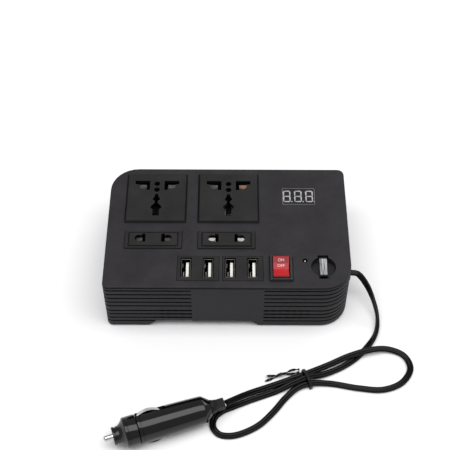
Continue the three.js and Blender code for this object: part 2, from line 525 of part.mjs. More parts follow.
// the pocket that each leaf spring sinks into, in the leaf's own direction
const leafPocket = () => box(PLUG_LEAF.from - 0.5, PLUG_LEAF.to + 3.4, -PLUG_LEAF.w / 2 - 0.4,
  PLUG_LEAF.w / 2 + 0.4, 5, 14);
const leafTurns = [rad(90 - PLUG_LEAF.lean), rad(270 - PLUG_LEAF.lean)];

function plugBarrel() {
  const outside = turnedAlongX([[4.3, 14.6], [5.3, 14.6], [5.3, 21.6], [9.4, 21.6], [9.65, 22], [9.65, 26],
    [9.25, 47], [8.6, 64], [5.4, 68], [0, 68], [0, 48], [4.3, 48], [4.3, 14.6]]);
  const pockets = leafTurns.map((turn) => solid(geometryOf(leafPocket()).rotateX(-turn)));
  return outside.subtract(wasm.Manifold.union(pockets));
}
add('plug_barrel', plugBarrel(), GLOSS_BLACK, plug);

function leafSpring() {
  const { from, to, rise, r, thick } = PLUG_LEAF;
  const arch = (lift) => Array.from({ length: 13 }, (_, i) => {
    const u = i / 12;
    return [from + (to - from) * u, r - 0.5 + lift + (rise + 0.9) * Math.sin(Math.PI * u) ** 0.8];
  });
  return [...arch(0), [to + 2.6, r - 1.3], [to + 2.6, r - 1.3 + thick], ...arch(thick).reverse()];
}
['upper', 'lower'].forEach((hand, i) => {
  const leaf = runAlongY(leafSpring(), -PLUG_LEAF.w / 2, PLUG_LEAF.w / 2).rotateX(-leafTurns[i]);
  add(`plug_spring_${hand}`, leaf, STEEL, plug);
});

add('plug_fuse', turnedAlongX([[0, 17.2], [3.1, 17.2], [3.1, 23], [2.8, 23.4], [2.8, 40], [3.1, 40.4],
  [3.1, 46], [0, 46]], 16), CLEAR, plug);

const neck = turnedAlongX([[0, 68.3], [5, 68.3], [3.9, 71], [3.3, 72], [0, 72]], 20);
add('plug_boot', neck.add(box(70.5, 77.4, -3.1, 3.1, -2.6, 2.6)), BLACK, plug);

export default model;
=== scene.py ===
"""Looks of a small car power inverter with its accessory-socket plug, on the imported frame.

Everything is in metres in the frame's own axes: X along the case, -Y to the front, Z up.
"""

import math

import bmesh
import bpy
from mathutils import Matrix, Vector


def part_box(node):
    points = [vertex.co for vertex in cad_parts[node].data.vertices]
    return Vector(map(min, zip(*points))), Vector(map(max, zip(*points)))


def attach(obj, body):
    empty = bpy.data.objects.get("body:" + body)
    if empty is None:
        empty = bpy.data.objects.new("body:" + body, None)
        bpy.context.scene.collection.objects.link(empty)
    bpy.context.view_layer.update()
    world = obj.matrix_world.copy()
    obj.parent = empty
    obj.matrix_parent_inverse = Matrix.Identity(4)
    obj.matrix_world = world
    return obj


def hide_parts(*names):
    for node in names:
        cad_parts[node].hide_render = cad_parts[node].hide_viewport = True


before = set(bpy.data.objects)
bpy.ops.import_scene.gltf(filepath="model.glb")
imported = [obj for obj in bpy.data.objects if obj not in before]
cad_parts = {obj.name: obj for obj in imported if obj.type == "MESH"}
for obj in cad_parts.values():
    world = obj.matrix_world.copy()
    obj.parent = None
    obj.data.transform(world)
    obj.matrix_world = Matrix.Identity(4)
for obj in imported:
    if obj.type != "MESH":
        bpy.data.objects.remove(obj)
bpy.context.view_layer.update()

MM = 0.001
MAIN = "inverter"

# the viewer's place, how far it looks down, its turn and roll in degrees, and its lens
VIEWER = {"place": (0.0019, -0.4254, 0.5868), "down": 51.827, "aside": 0.211, "roll": 0.375,
          "lens": 80.11}

# the case's outline in metres: its half sizes, its two corner radii, and the heights its grooves
# lie between
CASE = {"half_x": 0.08, "half_y": 0.05, "tight": 0.004, "wide": 0.0185,
        "low": 0.0064, "high": 0.04395}

# the cord's section, how near its valley comes to the middle, its facets, and its route: x, y, z
# in millimetres and its roll in degrees
CORD = {"width": 4.2, "height": 2.3, "valley": 0.78, "facets": 7, "steps": 9}
ROUTE = [
    (82.6, -20, 20, 0), (87.4, -20.5, 19.1, 15), (93.2, -25.4, 14.2, 50), (97.8, -34, 8.4, 85),
    (100.2, -45, 4, 90), (98.6, -56, 1.9, 60), (92.6, -66, 1.25, 10), (84, -75.2, 1.2, 0),
    (74, -82.2, 1.2, 0), (62, -87.8, 2, 0), (51, -91.4, 4.45, 0), (42, -95.2, 3.6, 0),
    (31.6, -99.7, 1.25, 0), (14, -106.6, 1.2, 0), (3.4, -111.2, 1.2, 0), (-3.6, -114.6, 1.2, 0),
    (-8, -119.4, 1.2, 0), (-8.6, -125.2, 1.2, 0), (-4.9, -130, 1.2, 0), (1.8, -131.2, 1.2, 0),
    (9.6, -129.4, 1.2, 0), (20, -123.8, 1.2, 0), (29, -114.9, 1.2, 0), (37.6, -104.2, 1.2, 0),
    (45, -97.6, 1.8, 0), (53, -94.6, 2.1, 0), (66, -94.2, 1.3, 0), (84, -97.4, 1.2, 0),
    (100, -98.4, 1.2, 0), (112.6, -93, 1.2, 0), (118.8, -82.6, 1.2, 0), (115.4, -73.2, 1.3, 0),
    (105, -69, 2.4, 0), (93.4, -70.8, 4.2, 0), (79, -75.4, 3.9, 0), (66, -80.6, 1.7, 0),
    (49.8, -88, 2.15, 0), (28, -96.4, 1.6, 0), (13, -103.6, 4.4, 0), (-0.6, -112.7, 9.2, 0),
]

# the twist tie's strip, its turn in degrees from one point of a tail to the next, and its two tails
TIE = {"half_wide": 0.8, "half_core": 0.3, "half_flat": 0.2, "half_thick": 0.32, "twist": 150}
TAILS = [
    [(46.6, -85.2, 3.6), (42, -85.8, 3.8), (36.6, -88, 3.1), (30.6, -89.2, 2.4),
     (25.2, -89.2, 2.2)],
    [(46.6, -85.9, 1.5), (41, -87.3, 1.3), (35, -87, 1.2), (29.6, -90.3, 0.9),
     (24.4, -92.2, 0.8)],
]

# the rocker's pivot and tilt, and its printed words: their places along and above the pivot, their
# slopes, widths and heights
ROCKER = {"pivot": (34.5, -35.2, 42), "tilt": 5}
SWITCH_WORDS = [("ON", 5.7, 5.08, 28.3, 3.9, 1.8), ("OFF", 2.3, 3.54, 19.7, 4.7, 1.7)]

# the display's painted edge highlight and its line, and its three digits in millimetres from the
# middle
DISPLAY = {"highlight_w": 21.8, "highlight_d": 14, "line": 0.3, "digits": (-8.0, -0.4, 7.2),
           "digit_w": 5.2, "digit_d": 10, "bar": 0.9, "gap": 0.3, "proud": 0.06}

# the plug's own axis: the tip of its pin, its turn in plan, and the lean of its leaf springs;
# and the pockets in its barrel that the leaves stand in
PLUG = {"tip": (-75, -138, 9.7), "turn": 18.7, "lean": 51}
POCKET = {"size": (0.0189, 0.0043, 0.009), "along": 0.03135, "out": 0.0096}

# the case screws' cross slots in metres
CROSS = {"long": 0.0036, "wide": 0.0008, "deep": 0.0018}


def linear(value):
    """One sRGB channel, from 0 to 255, as linear light."""
    share = value / 255
    return share / 12.92 if share <= 0.04045 else ((share + 0.055) / 1.055) ** 2.4


def tone(red, green, blue):
    return (linear(red), linear(green), linear(blue), 1.0)


# ---- viewer, floor and light ------------------------------------------------------------------
def make_viewer():
    """The camera at the usual three-quarter view from the front and above."""
    pitch, yaw, roll = (math.radians(VIEWER[key]) for key in ("down", "aside", "roll"))
    ahead = Vector((math.sin(yaw) * math.cos(pitch), math.cos(yaw) * math.cos(pitch),
                    -math.sin(pitch)))
    right = Vector((math.cos(yaw), -math.sin(yaw), 0))
    above = right.cross(ahead)
    across = right * math.cos(roll) + above * math.sin(roll)
    upright = above * math.cos(roll) - right * math.sin(roll)
    data = bpy.data.cameras.new("viewer")
    data.lens = VIEWER["lens"]
    data.sensor_width = 36
    data.clip_start = 0.01
    data.clip_end = 20
    camera = bpy.data.objects.new("viewer", data)
    place = Matrix((across, upright, -ahead)).transposed().to_4x4()
    place.translation = Vector(VIEWER["place"])
    camera.matrix_world = place
    bpy.context.scene.collection.objects.link(camera)
    bpy.context.scene.camera = camera


def area_light(name, place, aim, size, watts):
    data = bpy.data.lights.new(name, "AREA")
    data.shape = "RECTANGLE"
    data.size, data.size_y = size
    data.energy = watts
    light = bpy.data.objects.new(name, data)
    light.location = place
    light.rotation_euler = (Vector(aim) - Vector(place)).to_track_quat("-Z", "Y").to_euler()
    bpy.context.scene.collection.objects.link(light)


def make_studio():
    """A pale world, two soft lights and a plain floor."""
    bpy.context.scene.view_settings.view_transform = "Standard"
    world = bpy.data.worlds.new("studio")
    bpy.context.scene.world = world
    world.use_nodes = True
    backdrop = world.node_tree.nodes["Background"]
    backdrop.inputs["Color"].default_value = (1, 1, 1, 1)
    backdrop.inputs["Strength"].default_value = 0.45
    area_light("overhead_softbox", (0.0, -0.2, 1.05), (0.0, -0.09, 0.0), (2.0, 0.75), 15)
    area_light("back_strip", (0.55, 0.75, 0.5), (0.05, 0.0, 0.03), (0.9, 0.25), 2.2)
    bm = bmesh.new()
    bmesh.ops.create_grid(bm, x_segments=1, y_segments=1, size=3)
    floor = placed("floor", bm)
    floor.data.materials.append(floor_white())


# ---- shared effects ---------------------------------------------------------------------------
def new_group(name, inputs, outputs):
    tree = bpy.data.node_groups.new(name, "ShaderNodeTree")
    for label, kind, default in inputs:
        socket = tree.interface.new_socket(label, in_out="INPUT", socket_type=kind)
        socket.default_value = default
    for label, kind in outputs:
        tree.interface.new_socket(label, in_out="OUTPUT", socket_type=kind)
    return tree, tree.nodes.new("NodeGroupInput"), tree.nodes.new("NodeGroupOutput")


def node(tree, kind, links=(), **settings):
    """A node with its settings, and its inputs given as values or linked from other sockets."""
    made = tree.nodes.new(kind)
    for key, value in settings.items():
        setattr(made, key, value)
    for key, value in dict(links).items():
        if isinstance(value, bpy.types.NodeSocket):
            tree.links.new(value, made.inputs[key])
        else:
            made.inputs[key].default_value = value
    return made


def calc(tree, operation, *values, clamp=False):
    return node(tree, "ShaderNodeMath", dict(enumerate(values)), operation=operation,
                use_clamp=clamp).outputs[0]


def vector_calc(tree, operation, *values):
    return node(tree, "ShaderNodeVectorMath", dict(enumerate(values)), operation=operation).outputs


def object_place(tree):
    return node(tree, "ShaderNodeTexCoord").outputs["Object"]


def parts(tree, vector):
    return node(tree, "ShaderNodeSeparateXYZ", {"Vector": vector}).outputs


def noise(tree, place, scale, detail, roughness=0.5):
    return node(tree, "ShaderNodeTexNoise", {"Vector": place, "Scale": scale, "Detail": detail,
                                             "Roughness": roughness}).outputs["Fac"]


def ranged(tree, value, low, high, start=0.25, end=0.75):
    return node(tree, "ShaderNodeMapRange", {"Value": value, "From Min": start, "From Max": end,
                                             "To Min": low, "To Max": high}).outputs[0]


def share(tree, value, start, end):
    """How far the value lies on its way from start to end, from 0 to 1."""
    return ranged(tree, value, 0.0, 1.0, start, end)


FLOAT, VECTOR = "NodeSocketFloat", "NodeSocketVector"


def make_grain_group():
    """Two sizes of grain over object space: a mask for tone and roughness, and a height."""
    tree, given, out = new_group("moulded_grain",
                                 [("Fine", FLOAT, 2500.0), ("Broad", FLOAT, 60.0)],
                                 [("Mottle", FLOAT), ("Height", FLOAT)])
    place = object_place(tree)
    fine = noise(tree, place, given.outputs["Fine"], 2.0, 0.6)
    broad = noise(tree, place, given.outputs["Broad"], 4.0, 0.55)
    mottle = calc(tree, "MULTIPLY_ADD", broad, 0.65, calc(tree, "MULTIPLY", fine, 0.35))
    tree.links.new(mottle, out.inputs["Mottle"])
    tree.links.new(fine, out.inputs["Height"])
    return tree


def make_wear_and_highlight_group():
    """A mask that is 1 along convex edges, broken up so that it looks rubbed: edge wear and a
    painted edge highlight.
    """
    tree, given, out = new_group("rubbed_edges_and_highlight",
                                 [("Radius", FLOAT, 0.0004), ("Strength", FLOAT, 0.5),
                                  ("Breakup", FLOAT, 300.0)], [("Mask", FLOAT)])
    rounded = node(tree, "ShaderNodeBevel", {"Radius": given.outputs["Radius"]}, samples=4)
    own = node(tree, "ShaderNodeNewGeometry")
    likeness = vector_calc(tree, "DOT_PRODUCT", rounded.outputs["Normal"], own.outputs["Normal"])
    edge = share(tree, likeness["Value"], 0.995, 0.85)
    patch = noise(tree, object_place(tree), given.outputs["Breakup"], 3.0)
    broken = calc(tree, "MULTIPLY", edge, share(tree, patch, 0.35, 0.65))
    mask = calc(tree, "MULTIPLY", broken, given.outputs["Strength"], clamp=True)
    tree.links.new(mask, out.inputs["Mask"])
    return tree


def make_dust_group():
    """A thin settling of dust on faces that look up."""
    tree, given, out = new_group("settled_dust", [("Amount", FLOAT, 0.1)], [("Mask", FLOAT)])
    up = parts(tree, node(tree, "ShaderNodeNewGeometry").outputs["Normal"])["Z"]
    patch = noise(tree, object_place(tree), 45.0, 6.0, 0.7)
    settled = calc(tree, "MULTIPLY", share(tree, up, 0.3, 1.0), share(tree, patch, 0.4, 0.75))
    mask = calc(tree, "MULTIPLY", settled, given.outputs["Amount"], clamp=True)
    tree.links.new(mask, out.inputs["Mask"])
    return tree


def make_brushing_group():
    """Fine drawn lines along one way of the strip metal."""
    tree, given, out = new_group("drawn_lines", [("Stretch", VECTOR, (200.0, 200.0, 4000.0))],
                                 [("Lines", FLOAT)])
    scaled = vector_calc(tree, "MULTIPLY", object_place(tree), given.outputs["Stretch"])[0]
    tree.links.new(noise(tree, scaled, 1.0, 3.0), out.inputs["Lines"])
    return tree


def make_crease_shade_group():
    """A mask for painted shade that is 1 deep in grooves and seams, where light doesn't reach."""
    tree, given, out = new_group("painted_crease_shade",
                                 [("Reach", FLOAT, 0.0015), ("Strength", FLOAT, 1.0)],
                                 [("Mask", FLOAT)])
    open_sky = node(tree, "ShaderNodeAmbientOcclusion", {"Distance": given.outputs["Reach"]},
                    samples=6)
    closed = share(tree, open_sky.outputs["AO"], 0.85, 0.48)
    mask = calc(tree, "MULTIPLY", closed, given.outputs["Strength"], clamp=True)
    tree.links.new(mask, out.inputs["Mask"])
    return tree


def make_side_shade_group():
    """A mask for painted shade on bevels and walls that look sideways or forward, away from the
    light above.
    """
    tree, given, out = new_group("painted_side_shade", [("Side", FLOAT, 1.0), ("Front", FLOAT, 0.5)],
                                 [("Mask", FLOAT)])
    facing = parts(tree, node(tree, "ShaderNodeNewGeometry").outputs["True Normal"])
    side = share(tree, calc(tree, "ABSOLUTE", facing["X"]), 0.3, 0.6)
    front = share(tree, facing["Y"], -0.3, -0.6)
    mask = calc(tree, "MAXIMUM", calc(tree, "MULTIPLY", side, given.outputs["Side"]),
                calc(tree, "MULTIPLY", front, given.outputs["Front"]), clamp=True)
    tree.links.new(mask, out.inputs["Mask"])
    return tree


def make_inside_shade_group():
    """A mask for painted shade that is 1 behind the case's outline, deep in its grooves and
    openings.
    """
    tree, given, out = new_group("painted_inside_shade", [("Depth", FLOAT, 0.0003)], [("Mask", FLOAT)])
    place = object_place(tree)
    along = parts(tree, place)
    wide_corner = calc(tree, "LESS_THAN", calc(tree, "MULTIPLY", along["X"], along["Y"]), 0.0)
    radius = calc(tree, "MULTIPLY_ADD", wide_corner, CASE["wide"] - CASE["tight"], CASE["tight"])
    core = node(tree, "ShaderNodeCombineXYZ",
                {"X": calc(tree, "SUBTRACT", CASE["half_x"], radius),
                 "Y": calc(tree, "SUBTRACT", CASE["half_y"], radius), "Z": 1.0}).outputs[0]
    past = vector_calc(tree, "SUBTRACT", vector_calc(tree, "ABSOLUTE", place)[0], core)[0]
    kept = vector_calc(tree, "MAXIMUM", past, (0.0, 0.0, 0.0))[0]
    depth = calc(tree, "SUBTRACT", radius, vector_calc(tree, "LENGTH", kept)["Value"])
    behind = calc(tree, "GREATER_THAN", depth, given.outputs["Depth"])
    above = calc(tree, "GREATER_THAN", along["Z"], CASE["low"])
    below = calc(tree, "LESS_THAN", along["Z"], CASE["high"])
    mask = calc(tree, "MULTIPLY", calc(tree, "MULTIPLY", behind, above), below)
    tree.links.new(mask, out.inputs["Mask"])
    return tree


GRAIN = make_grain_group()
WEAR_AND_HIGHLIGHT_GROUP = make_wear_and_highlight_group()
CREASE_SHADE_GROUP = make_crease_shade_group()
DUST = make_dust_group()
SIDE_SHADE_GROUP = make_side_shade_group()
INSIDE_SHADE_GROUP = make_inside_shade_group()
BRUSHING = make_brushing_group()


def group_node(tree, effect, **values):
    made = tree.nodes.new("ShaderNodeGroup")
    made.node_tree = effect
    for key, value in values.items():
        made.inputs[key].default_value = value
    return made


# ---- finishes ---------------------------------------------------------------------------------
def blank(name):
    material = bpy.data.materials.new(name)
    material.use_nodes = True
    return material, material.node_tree, material.node_tree.nodes["Principled BSDF"]


def mixed_tone(tree, factor, first, second):
    made = node(tree, "ShaderNodeMix", data_type="RGBA")
    tree.links.new(factor, made.inputs[0])
    for socket, value in ((made.inputs[6], first), (made.inputs[7], second)):
        if isinstance(value, bpy.types.NodeSocket):
            tree.links.new(value, socket)
        else:
            socket.default_value = value
    return made.outputs[2]


def lighter(colour, times):
    return tuple(min(1, times * channel) for channel in colour[:3]) + (1,)


def raised(tree, shader, height, strength, distance):
    """A bump from the height, on the shader's normal."""
    bump = node(tree, "ShaderNodeBump", {"Height": height, "Strength": strength,
                                         "Distance": distance})
    tree.links.new(bump.outputs["Normal"], shader.inputs["Normal"])


def moulded(name, dark, light, rough, fine=2500.0, relief=0.25, rub_and_highlight=0.5, dust=0.06, broad=60.0,
            radius=0.0004, specular=0.5, cavity=0.0, depth=0.9, along=(), side_shade=(), inside_shade=False):
    """A moulded plastic: mottled tone, fine skin, edges lightened as wear and painted highlight,
    and a little dust.

    along holds painted light and shade that come in between two places on Y; a painted side shade
    can darken walls that look sideways or forward; cavity and depth say how near and how strongly
    painted shade darkens grooves; and a painted inside shade blackens what lies behind the case's
    outline.
    """
    material, tree, shader = blank(name)
    grain = group_node(tree, GRAIN, Fine=fine, Broad=broad)
    wear_and_highlight = group_node(tree, WEAR_AND_HIGHLIGHT_GROUP, Strength=rub_and_highlight, Radius=radius)
    powder = group_node(tree, DUST, Amount=dust)
    body = mixed_tone(tree, share(tree, grain.outputs["Mottle"], 0.35, 0.65), dark, light)
    # painted light and shade: tones that come in between two places on Y
    for start, end, shade in along:
        reached = share(tree, parts(tree, object_place(tree))["Y"], start, end)
        body = mixed_tone(tree, reached, body, shade)
    # painted shade on walls that look sideways or forward
    if side_shade:
        side, front, shade = side_shade
        side_shade_mask = group_node(tree, SIDE_SHADE_GROUP, Side=side, Front=front)
        body = mixed_tone(tree, side_shade_mask.outputs["Mask"], body, shade)
    # edges lightened as wear and as a painted highlight
    body = mixed_tone(tree, wear_and_highlight.outputs["Mask"], body, lighter(light, 3.2))
    body = mixed_tone(tree, powder.outputs["Mask"], body, tone(150, 146, 142))
    # painted shade: near black deep in grooves and seams
    if cavity:
        deep = group_node(tree, CREASE_SHADE_GROUP, Reach=cavity, Strength=depth)
        body = mixed_tone(tree, deep.outputs["Mask"], body, tone(4, 4, 4))
    # painted shade: black behind the case's outline
    if inside_shade:
        inside_shade_mask = group_node(tree, INSIDE_SHADE_GROUP)
        body = mixed_tone(tree, inside_shade_mask.outputs["Mask"], body, tone(2, 2, 2))
    tree.links.new(body, shader.inputs["Base Color"])
    gloss = ranged(tree, grain.outputs["Mottle"], rough[0], rough[1], 0.35, 0.65)
    tree.links.new(gloss, shader.inputs["Roughness"])
    raised(tree, shader, grain.outputs["Height"], relief, 0.0001)
    shader.inputs["Specular IOR Level"].default_value = specular
    return material


def metal(name, dark, light, rough, stretch=(300.0, 300.0, 3000.0), relief=0.15, cavity=0.0):
    """A bare or plated metal with drawn lines, handling marks, edges brightened as wear and painted
    highlight, and painted shade deep in its cavities when cavity is given.
    """
    material, tree, shader = blank(name)
    lines = group_node(tree, BRUSHING, Stretch=stretch).outputs["Lines"]
    grain = group_node(tree, GRAIN, Fine=1500.0, Broad=150.0)
    wear_and_highlight = group_node(tree, WEAR_AND_HIGHLIGHT_GROUP, Strength=0.7, Radius=0.0002)
    body = mixed_tone(tree, share(tree, grain.outputs["Mottle"], 0.35, 0.65), dark, light)
    # edges brightened as wear and as a painted highlight
    body = mixed_tone(tree, wear_and_highlight.outputs["Mask"], body, lighter(light, 1.25))
    # painted shade: near black deep in cavities
    if cavity:
        deep = group_node(tree, CREASE_SHADE_GROUP, Reach=cavity)
        body = mixed_tone(tree, deep.outputs["Mask"], body, tone(10, 10, 10))
    tree.links.new(body, shader.inputs["Base Color"])
    shader.inputs["Metallic"].default_value = 1.0
    tree.links.new(ranged(tree, lines, rough[0], rough[1]), shader.inputs["Roughness"])
    raised(tree, shader, lines, relief, 0.00005)
    return material


def clear(name, tint, rough, mist):
    """A clear glass, faintly misted."""
    material, tree, shader = blank(name)
    mottle = group_node(tree, GRAIN, Fine=900.0, Broad=80.0).outputs["Mottle"]
    tree.links.new(mixed_tone(tree, ranged(tree, mottle, 0.0, mist), tint, (1, 1, 1, 1)),
                   shader.inputs["Base Color"])
    tree.links.new(ranged(tree, mottle, rough[0], rough[1]), shader.inputs["Roughness"])
    shader.inputs["Transmission Weight"].default_value = 0.92
    shader.inputs["IOR"].default_value = 1.49
    return material


def streaked(name, dark, light, ends):
    """A clear ribbed moulding with painted highlights and shade streaked along its ribs, and near
    black between each pair of places on Y in ends.
    """
    material, tree, shader = blank(name)
    lines = group_node(tree, BRUSHING, Stretch=(2200.0, 60.0, 60.0)).outputs["Lines"]
    # painted highlights and shade streaked along the ribs
    body = mixed_tone(tree, share(tree, lines, 0.38, 0.62), dark, light)
    for start, end in ends:
        reached = share(tree, parts(tree, object_place(tree))["Y"], start, end)
        body = mixed_tone(tree, reached, body, tone(18, 18, 19))
    tree.links.new(body, shader.inputs["Base Color"])
    tree.links.new(ranged(tree, lines, 0.1, 0.3), shader.inputs["Roughness"])
    shader.inputs["Transmission Weight"].default_value = 0.15
    shader.inputs["IOR"].default_value = 1.49
    return material


def floor_white():
    material, tree, shader = blank("floor_white")
    shader.inputs["Base Color"].default_value = (0.86, 0.86, 0.87, 1)
    shader.inputs["Roughness"].default_value = 0.6
    return material


def laminate(name, resist, trace):
    """A lacquered circuit board with a maze of tracks under the lacquer."""
    material, tree, shader = blank(name)
    cells = node(tree, "ShaderNodeTexVoronoi", {"Vector": object_place(tree), "Scale": 320.0},
                 feature="F1", distance="CHEBYCHEV")
    tracks = share(tree, cells.outputs["Distance"], 0.42, 0.46)
    tree.links.new(mixed_tone(tree, tracks, resist, trace), shader.inputs["Base Color"])
    mottle = group_node(tree, GRAIN).outputs["Mottle"]
    tree.links.new(ranged(tree, mottle, 0.25, 0.4), shader.inputs["Roughness"])
    raised(tree, shader, tracks, 0.4, 0.00005)
    return material


def make_finishes():
    """Every finish by its short name."""
    return {**case_finishes(), **front_finishes(), **cord_finishes(), **metal_finishes(),
            **inner_finishes()}


def case_finishes():
    return {
        # painted shade darkens the case's grooves and blackens what lies behind its outline; its
        # edges are lightened as wear and painted highlight
        "case": moulded("case_charcoal", tone(32, 30, 33), tone(36, 34, 37), rough=(0.5, 0.6),
                        fine=2200.0, relief=0.3, rub_and_highlight=0.9, dust=0.035, broad=40.0,
                        radius=0.0006, specular=0.2, cavity=0.0018, inside_shade=True),
        # painted shade: near black on the sockets' bevels and walls that look sideways or forward,
        # and in their grooves
        "socket": moulded("socket_charcoal", tone(26, 26, 27), tone(30, 30, 31),
                          rough=(0.42, 0.52), fine=2600.0, relief=0.2, rub_and_highlight=0.25, dust=0.025,
                          specular=0.2, cavity=0.0018, side_shade=(0.95, 0.6, tone(3, 3, 3))),
        "dark": moulded("recess_black", tone(14, 14, 15), tone(20, 20, 21), rough=(0.4, 0.5),
                        fine=2600.0, relief=0.2, rub_and_highlight=0.4, dust=0.02, specular=0.25),
        # painted shade: the fuse holder's recess, the case's plastic made darker
        "recess": moulded("fuse_recess_painted_shade", tone(33, 32, 34), tone(38, 37, 39),
                          rough=(0.45, 0.55), fine=2200.0, relief=0.25, rub_and_highlight=0.4, dust=0.03,
                          specular=0.25),
        "bezel": moulded("bezel_black", tone(34, 32, 35), tone(41, 39, 42), rough=(0.35, 0.45),
                         fine=2200.0, relief=0.2, rub_and_highlight=0.7, dust=0.03, specular=0.3,
                         cavity=0.002),
    }


def front_finishes():
    """The switch, lamp, display, USB tongues and blade fuse."""
    return {
        "rocker": moulded("rocker_red", tone(160, 14, 18), tone(174, 20, 23),
                          rough=(0.28, 0.36), fine=1200.0, relief=0.05, rub_and_highlight=0.25, dust=0.0,
                          specular=0.3, cavity=0.0014, depth=0.6,
                          # painted light and shade: the rear a lighter pink as if lit, the front
                          # end near-black red as if in shade, and the walls that look sideways or
                          # forward darker as painted shade
                          along=((-0.039, -0.028, tone(206, 34, 46)),
                                 (-0.0416, -0.0428, tone(60, 3, 8))),
                          side_shade=(0.9, 0.9, tone(84, 6, 12))),
        "letter": printed("letter_white", tone(232, 176, 182), tone(242, 196, 200)),
        "segment": printed("segment_grey", tone(150, 148, 150), tone(176, 174, 176)),
        # painted highlight for the display's bevelled edge
        "edge_highlight": printed("edge_highlight_grey", tone(98, 96, 98), tone(116, 114, 116)),
        "window": moulded("window_smoke", tone(30, 29, 31), tone(35, 34, 36),
                          rough=(0.2, 0.28), fine=1800.0, relief=0.05, rub_and_highlight=0.2, dust=0.02,
                          specular=0.25),
        # painted highlight: the lamp's dome is white as its glint, and its ring near black as the
        # shade in its hole
        "lens": moulded("lamp_painted_glint", tone(206, 206, 208), tone(232, 232, 234),
                        rough=(0.15, 0.2), fine=1200.0, relief=0.05, rub_and_highlight=0.0, dust=0.0),
        "lamp_hole_shade": moulded("lamp_painted_hole_shade", tone(3, 3, 3), tone(5, 5, 5),
                                rough=(0.5, 0.6), fine=2600.0, relief=0.1, rub_and_highlight=0.0, dust=0.0,
                                specular=0.1),
        "tongue": moulded("tongue_white", tone(214, 212, 206), tone(230, 228, 222),
                          rough=(0.4, 0.5), fine=1800.0, relief=0.15, rub_and_highlight=0.2, dust=0.0,
                          cavity=0.003, depth=0.6),
        "fuse": streaked("fuse_moulding", tone(44, 44, 46), tone(196, 198, 200),
                         ((-0.0276, -0.0268), (-0.0392, -0.0402))),
    }


def printed(name, dark, light):
    """A thin opaque print, lit bar or painted highlight, with no wear or dust."""
    return moulded(name, dark, light, rough=(0.4, 0.5), fine=1500.0, relief=0.1, rub_and_highlight=0.0, dust=0.0)


def cord_finishes():
    """The plug's mouldings, the cord and its twist tie."""
    return {
        "gloss": moulded("plug_gloss_black", tone(4, 4, 5), tone(7, 7, 8), rough=(0.08, 0.14),
                         fine=900.0, relief=0.03, rub_and_highlight=0.3, dust=0.01, specular=0.42,
                         cavity=0.001),
        "vinyl": moulded("cord_vinyl", tone(2, 2, 2), tone(5, 5, 5), rough=(0.2, 0.28),
                         fine=1600.0, relief=0.1, rub_and_highlight=0.2, dust=0.0, specular=0.15,
                         cavity=0.0012),
        "boot": moulded("boot_vinyl", tone(9, 8, 9), tone(13, 12, 13), rough=(0.4, 0.5),
                        fine=1600.0, relief=0.15, rub_and_highlight=0.3, dust=0.01, specular=0.25),
        "tie": moulded("tie_black", tone(9, 9, 9), tone(14, 14, 14), rough=(0.3, 0.45),
                       fine=1800.0, relief=0.2, rub_and_highlight=0.3, dust=0.0, specular=0.3),
    }


def metal_finishes():
    return {
        "steel": metal("contact_nickel", tone(196, 194, 190), tone(226, 224, 220), (0.16, 0.34)),
        # painted shade: a darker copy of the contact metal, for contacts that lie in shade
        "contact_shade": metal("contact_painted_shade", tone(62, 59, 57), tone(92, 88, 85), (0.3, 0.5),
                      cavity=0.003),
        "brass": metal("contact_copper", tone(108, 82, 70), tone(150, 116, 98), (0.25, 0.45),
                       cavity=0.003),
        "plate": metal("plug_bright_plate", tone(176, 174, 172), tone(208, 206, 204),
                       (0.1, 0.22), stretch=(900.0, 900.0, 900.0), relief=0.05),
        # painted shade: the USB shells' steel is darkened so that the ports look dark inside
        "folded": metal("usb_folded_steel", tone(104, 102, 98), tone(130, 128, 124), (0.2, 0.4),
                        cavity=0.004),
        "tab": metal("usb_spring_tab", tone(112, 110, 106), tone(176, 174, 168), (0.15, 0.4)),
        "fins": metal("fin_aluminium", tone(150, 152, 154), tone(184, 186, 188), (0.3, 0.5),
                      stretch=(100.0, 2000.0, 2000.0), relief=0.3),
    }


def inner_finishes():
    return {
        "sleeve": moulded("capacitor_sleeve", tone(20, 22, 34), tone(28, 30, 44),
                          rough=(0.25, 0.35), fine=900.0, relief=0.1, rub_and_highlight=0.2, dust=0.05),
        "ferrite": moulded("ferrite_core", tone(58, 56, 52), tone(78, 76, 70),
                           rough=(0.6, 0.8), fine=900.0, relief=0.6, rub_and_highlight=0.3, dust=0.1),
        "glass": clear("fuse_glass", tone(236, 240, 238), (0.02, 0.08), 0.2),
        "board": laminate("board_green", tone(16, 66, 38), tone(30, 100, 58)),
    }


# ---- making pieces ----------------------------------------------------------------------------
def placed(name, bm, material=None, smooth=35):
    """The bmesh as an object at the origin, with its hard edges kept sharp."""
    mesh = bpy.data.meshes.new(name)
    bm.normal_update()
    bm.to_mesh(mesh)
    bm.free()
    for face in mesh.polygons:
        face.use_smooth = True
    mesh.set_sharp_from_angle(angle=math.radians(smooth))
    piece = bpy.data.objects.new(name, mesh)
    bpy.context.scene.collection.objects.link(piece)
    if material:
        mesh.materials.append(material)
    return piece


def riding(piece, body):
    """Gives a new piece its body."""
    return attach(piece, body)


def standing_in(piece, body, slot, *nodes):
    """Puts a new piece in the place of the CAD nodes named."""
    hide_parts(*nodes)
    return riding(piece, body)


